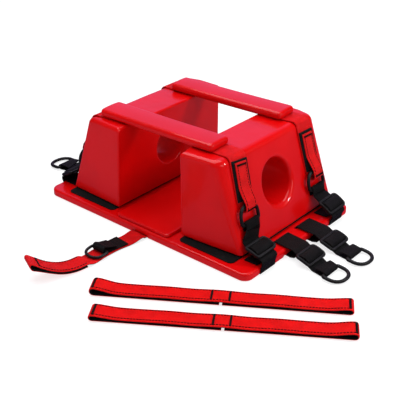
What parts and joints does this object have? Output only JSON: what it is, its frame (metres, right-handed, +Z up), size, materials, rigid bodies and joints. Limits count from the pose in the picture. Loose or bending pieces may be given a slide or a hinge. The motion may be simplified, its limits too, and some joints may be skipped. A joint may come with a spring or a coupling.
{
  "type": "spine board head immobiliser",
  "caption": "Head immobiliser for a spine board: foam base board with two slide-in head blocks, padded head straps, webbing harness with tri-glides and D-rings, and loose board straps.",
  "frame": {"origin": "centre of the base board's underside, on the surface it lies on", "axes": "+X towards the right head block, along the board's long side; +Y towards the rear bar, away from the front strap; +Z up, out of the board's top"},
  "size_m": [0.6661, 0.4588, 0.1602],
  "materials": {
    "red_dipped_foam": "satin vinyl skin",
    "red_strap": "woven, stitched",
    "black_webbing": "woven",
    "black_plastic": "moulded, satin",
    "hook_and_loop": "matte pile"
  },
  "bodies": {
    "board": {"base_board": "red_dipped_foam", "centre_pad": "red_dipped_foam", "front_bar": "red_dipped_foam", "front_head_strap": "red_strap", "front_strap": "red_strap", "front_strap_webbing": "black_webbing", "left_base_loop_pad": "hook_and_loop", "left_front_corner_ring": "black_plastic", "left_front_corner_webbing": "black_webbing", "left_front_loop_patch": "hook_and_loop", "left_front_side_webbing": "black_webbing", "left_rear_corner_ring": "black_plastic", "left_rear_corner_webbing": "black_webbing", "left_rear_loop_patch": "hook_and_loop", "left_rear_side_webbing": "black_webbing", "rear_bar": "red_dipped_foam", "rear_head_strap": "red_strap", "right_base_loop_pad": "hook_and_loop", "right_front_corner_ring": "black_plastic", "right_front_corner_webbing": "black_webbing", "right_front_loop_patch": "hook_and_loop", "right_front_side_webbing": "black_webbing", "right_rear_corner_ring": "black_plastic", "right_rear_corner_webbing": "black_webbing", "right_rear_loop_patch": "hook_and_loop", "right_rear_side_webbing": "black_webbing"},
    "left_block": {"left_head_block": "red_dipped_foam", "left_block_hook_pad": "hook_and_loop"},
    "left_front_tab": {"left_front_peel_tab": "red_strap"},
    "left_front_corner_buckle": {"left_front_corner_tri_glide": "black_plastic", "left_front_corner_glide_fold": "black_webbing"},
    "left_front_side_buckle": {"left_front_side_tri_glide": "black_plastic", "left_front_side_glide_fold": "black_webbing"},
    "left_front_side_ring": {"left_front_side_ring": "black_plastic"},
    "left_rear_tab": {"left_rear_peel_tab": "red_strap"},
    "left_rear_corner_buckle": {"left_rear_corner_tri_glide": "black_plastic", "left_rear_corner_glide_fold": "black_webbing"},
    "left_rear_side_buckle": {"left_rear_side_tri_glide": "black_plastic", "left_rear_side_glide_fold": "black_webbing"},
    "left_rear_side_ring": {"left_rear_side_ring": "black_plastic"},
    "right_block": {"right_head_block": "red_dipped_foam", "right_block_hook_pad": "hook_and_loop"},
    "right_front_tab": {"right_front_peel_tab": "red_strap"},
    "right_front_corner_buckle": {"right_front_corner_tri_glide": "black_plastic", "right_front_corner_glide_fold": "black_webbing"},
    "right_front_side_buckle": {"right_front_side_tri_glide": "black_plastic", "right_front_side_glide_fold": "black_webbing"},
    "right_front_side_ring": {"right_front_side_ring": "black_plastic"},
    "right_rear_tab": {"right_rear_peel_tab": "red_strap"},
    "right_rear_corner_buckle": {"right_rear_corner_tri_glide": "black_plastic", "right_rear_corner_glide_fold": "black_webbing"},
    "right_rear_side_buckle": {"right_rear_side_tri_glide": "black_plastic", "right_rear_side_glide_fold": "black_webbing"},
    "right_rear_side_ring": {"right_rear_side_ring": "black_plastic"},
    "front_ring": {"front_strap_ring": "black_plastic"},
    "loose_strap_1": {"loose_board_strap_1": "red_strap"},
    "loose_strap_2": {"loose_board_strap_2": "red_strap"}
  },
  "joints": [
    {"name": "left_block_slide", "type": "slide", "parent": "board", "child": "left_block", "axis": [1, 0, 0], "range_m": [0, 0.01]},
    {"name": "left_front_tab_peel", "type": "hinge", "parent": "board", "child": "left_front_tab", "pos_m": [-0.15151, -0.07911, 0.09519], "axis": [0, -1, 0], "range_deg": [0, 110]},
    {"name": "left_front_corner_buckle_slide", "type": "slide", "parent": "board", "child": "left_front_corner_buckle", "axis": [0.8909, 0.0488, 0.4516], "range_m": [-0.003, 0.0007]},
    {"name": "left_front_side_buckle_slide", "type": "slide", "parent": "board", "child": "left_front_side_buckle", "axis": [-0.8175, -0.255, -0.5164], "range_m": [-0.0012, 0.004]},
    {"name": "left_front_side_ring_swing", "type": "hinge", "parent": "board", "child": "left_front_side_ring", "pos_m": [-0.2545, -0.047, 0.0048], "axis": [0, 1, 0], "range_deg": [0, 95]},
    {"name": "left_rear_tab_peel", "type": "hinge", "parent": "board", "child": "left_rear_tab", "pos_m": [-0.15454, 0.0788, 0.08619], "axis": [0, -1, 0], "range_deg": [0, 110]},
    {"name": "left_rear_corner_buckle_slide", "type": "slide", "parent": "board", "child": "left_rear_corner_buckle", "axis": [0.8717, -0.1189, 0.4755], "range_m": [-0.003, 0.0007]},
    {"name": "left_rear_side_buckle_slide", "type": "slide", "parent": "board", "child": "left_rear_side_buckle", "axis": [-0.7845, -0.1709, -0.5962], "range_m": [-0.0012, 0.004]},
    {"name": "left_rear_side_ring_swing", "type": "hinge", "parent": "board", "child": "left_rear_side_ring", "pos_m": [-0.2505, 0.026, 0.0048], "axis": [0, 1, 0], "range_deg": [0, 95]},
    {"name": "right_block_slide", "type": "slide", "parent": "board", "child": "right_block", "axis": [-1, 0, 0], "range_m": [0, 0.01]},
    {"name": "right_front_tab_peel", "type": "hinge", "parent": "board", "child": "right_front_tab", "pos_m": [0.15151, -0.06806, 0.09519], "axis": [0, 1, 0], "range_deg": [0, 110]},
    {"name": "right_front_corner_buckle_slide", "type": "slide", "parent": "board", "child": "right_front_corner_buckle", "axis": [-0.9505, 0.1535, 0.2702], "range_m": [-0.003, 0.0007]},
    {"name": "right_front_side_buckle_slide", "type": "slide", "parent": "board", "child": "right_front_side_buckle", "axis": [0.9315, -0.2199, -0.2898], "range_m": [-0.0012, 0.004]},
    {"name": "right_front_side_ring_swing", "type": "hinge", "parent": "board", "child": "right_front_side_ring", "pos_m": [0.272, -0.037, 0.0048], "axis": [0, -1, 0], "range_deg": [0, 95]},
    {"name": "right_rear_tab_peel", "type": "hinge", "parent": "board", "child": "right_rear_tab", "pos_m": [0.15454, 0.0932, 0.08619], "axis": [0, 1, 0], "range_deg": [0, 110]},
    {"name": "right_rear_corner_buckle_slide", "type": "slide", "parent": "board", "child": "right_rear_corner_buckle", "axis": [-0.8779, 0.0066, 0.4788], "range_m": [-0.003, 0.0007]},
    {"name": "right_rear_side_buckle_slide", "type": "slide", "parent": "board", "child": "right_rear_side_buckle", "axis": [0.9454, -0.1661, -0.2803], "range_m": [-0.0012, 0.004]},
    {"name": "right_rear_side_ring_swing", "type": "hinge", "parent": "board", "child": "right_rear_side_ring", "pos_m": [0.274, 0.022, 0.0048], "axis": [0, -1, 0], "range_deg": [0, 95]},
    {"name": "front_ring_swing", "type": "hinge", "parent": "board", "child": "front_ring", "pos_m": [-0.008, -0.203, 0.00713], "axis": [-1, 0, 0], "range_deg": [0, 110]},
    {"name": "loose_strap_1_lift", "type": "slide", "parent": "board", "child": "loose_strap_1", "axis": [0, 0, 1], "range_m": [0, 0.15]},
    {"name": "loose_strap_2_lift", "type": "slide", "parent": "board", "child": "loose_strap_2", "axis": [0, 0, 1], "range_m": [0, 0.15]}
  ]
}
